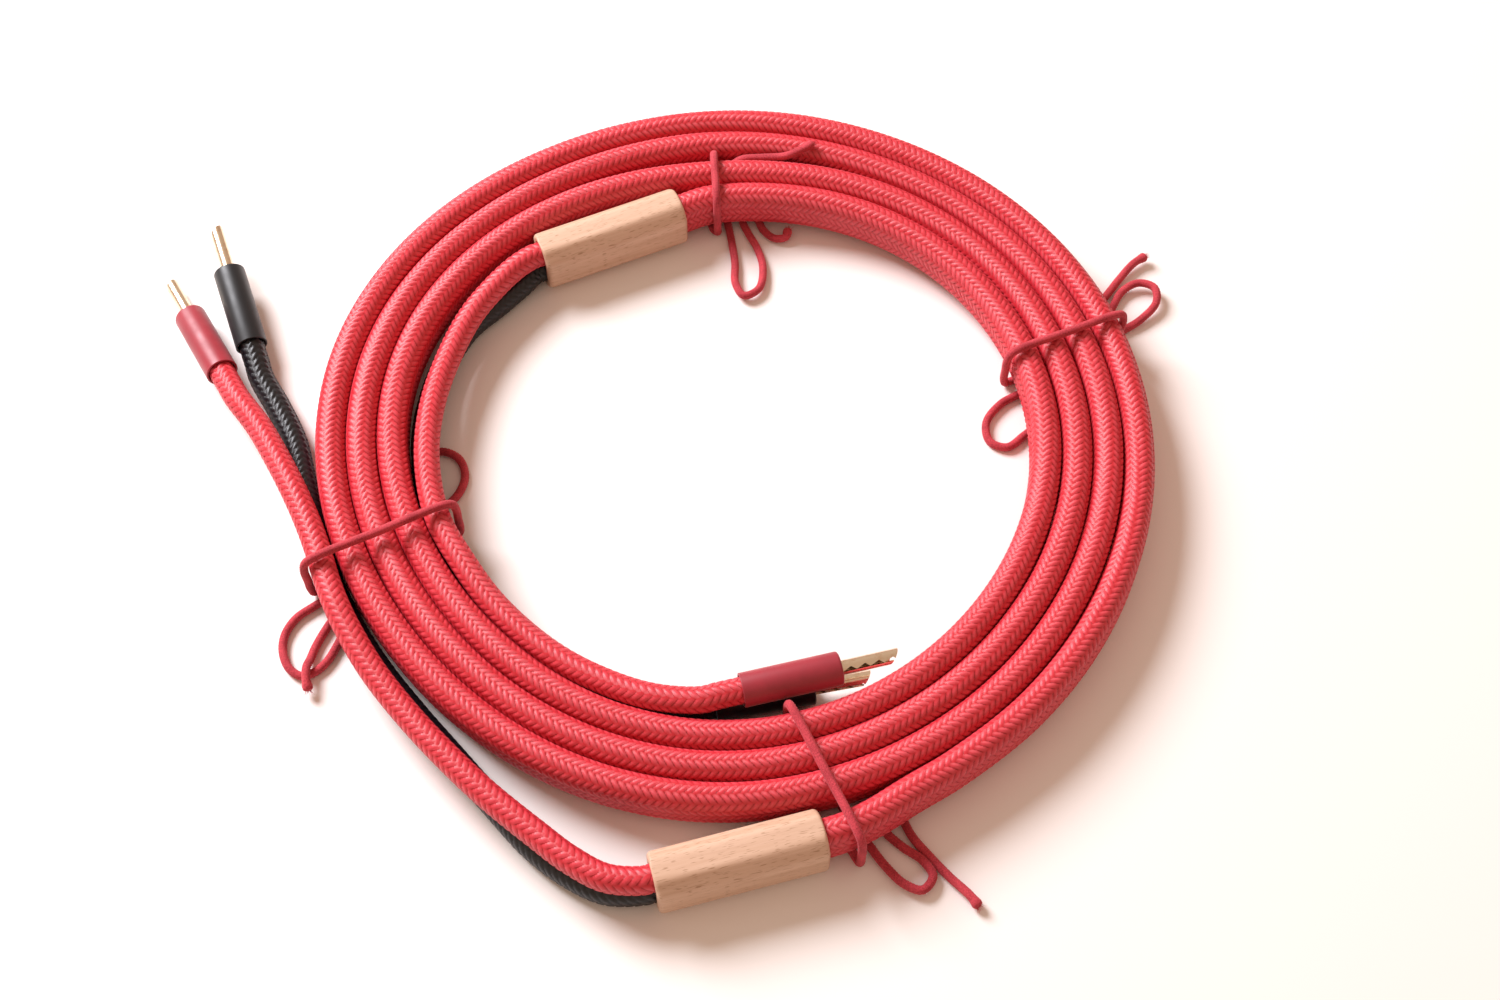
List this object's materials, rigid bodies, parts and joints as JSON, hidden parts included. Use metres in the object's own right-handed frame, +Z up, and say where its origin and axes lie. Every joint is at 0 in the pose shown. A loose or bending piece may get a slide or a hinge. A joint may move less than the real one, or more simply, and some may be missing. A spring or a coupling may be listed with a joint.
{
  "type": "loudspeaker cable coil",
  "caption": "Braided loudspeaker cable wound in a flat coil and tied, with a wooden splitter block at each end and two braided legs with plug pins under sliding sleeves.",
  "frame": {"origin": "on the floor under the middle of the whole object's outline", "axes": "+Z up from the floor it lies on, +X along the longest side, towards the right with the first beech block at the front (-Y)"},
  "size_m": [0.3024, 0.2601, 0.0206],
  "materials": {
    "red_braid": "plaited nylon, soft sheen",
    "black_braid": "plaited nylon, soft sheen",
    "red_plastic": "moulded, satin",
    "black_plastic": "moulded, satin",
    "beech": "sanded and oiled",
    "gold_plate": "gold plated, bright",
    "copper": "bare stranded copper",
    "core_insulation": "milky polyethylene",
    "shrink_tube": "matt heat-shrink tube",
    "red_cotton": "soft twisted cotton"
  },
  "bodies": {
    "cable": {"main_cable": "red_braid", "splitter_a": "beech", "splitter_b": "beech", "core_red_in_splitter_a": "core_insulation", "core_black_in_splitter_a": "core_insulation", "core_red_in_splitter_b": "core_insulation", "core_black_in_splitter_b": "core_insulation", "tie_right": "red_cotton", "tie_bottom": "red_cotton", "tie_left": "red_cotton", "tie_top": "red_cotton", "leg_red_a": "red_braid", "pin_red_a": "gold_plate", "strands_red_a": "copper", "core_red_a": "core_insulation", "braid_band_red_a": "shrink_tube", "leg_black_a": "black_braid", "pin_black_a": "gold_plate", "strands_black_a": "copper", "core_black_a": "core_insulation", "braid_band_black_a": "shrink_tube", "leg_red_b": "red_braid", "pin_red_b": "gold_plate", "strands_red_b": "copper", "core_red_b": "core_insulation", "braid_band_red_b": "shrink_tube", "leg_black_b": "black_braid", "pin_black_b": "gold_plate", "strands_black_b": "copper", "core_black_b": "core_insulation", "braid_band_black_b": "shrink_tube"},
    "plug_sleeve_red_a": {"sleeve_red_a": "red_plastic"},
    "plug_sleeve_black_a": {"sleeve_black_a": "black_plastic"},
    "plug_sleeve_red_b": {"sleeve_red_b": "red_plastic"},
    "plug_sleeve_black_b": {"sleeve_black_b": "black_plastic"}
  },
  "joints": [
    {"name": "sleeve_red_a_slide", "type": "slide", "parent": "cable", "child": "plug_sleeve_red_a", "axis": [0.501, -0.8517, 0.1539], "range_m": [0, 0.01]},
    {"name": "sleeve_black_a_slide", "type": "slide", "parent": "cable", "child": "plug_sleeve_black_a", "axis": [0.3471, -0.9319, -0.1056], "range_m": [0, 0.01]},
    {"name": "sleeve_red_b_slide", "type": "slide", "parent": "cable", "child": "plug_sleeve_red_b", "axis": [-0.9704, -0.2417, 0], "range_m": [0, 0.01]},
    {"name": "sleeve_black_b_slide", "type": "slide", "parent": "cable", "child": "plug_sleeve_black_b", "axis": [-0.981, -0.194, 0], "range_m": [0, 0.01]}
  ]
}
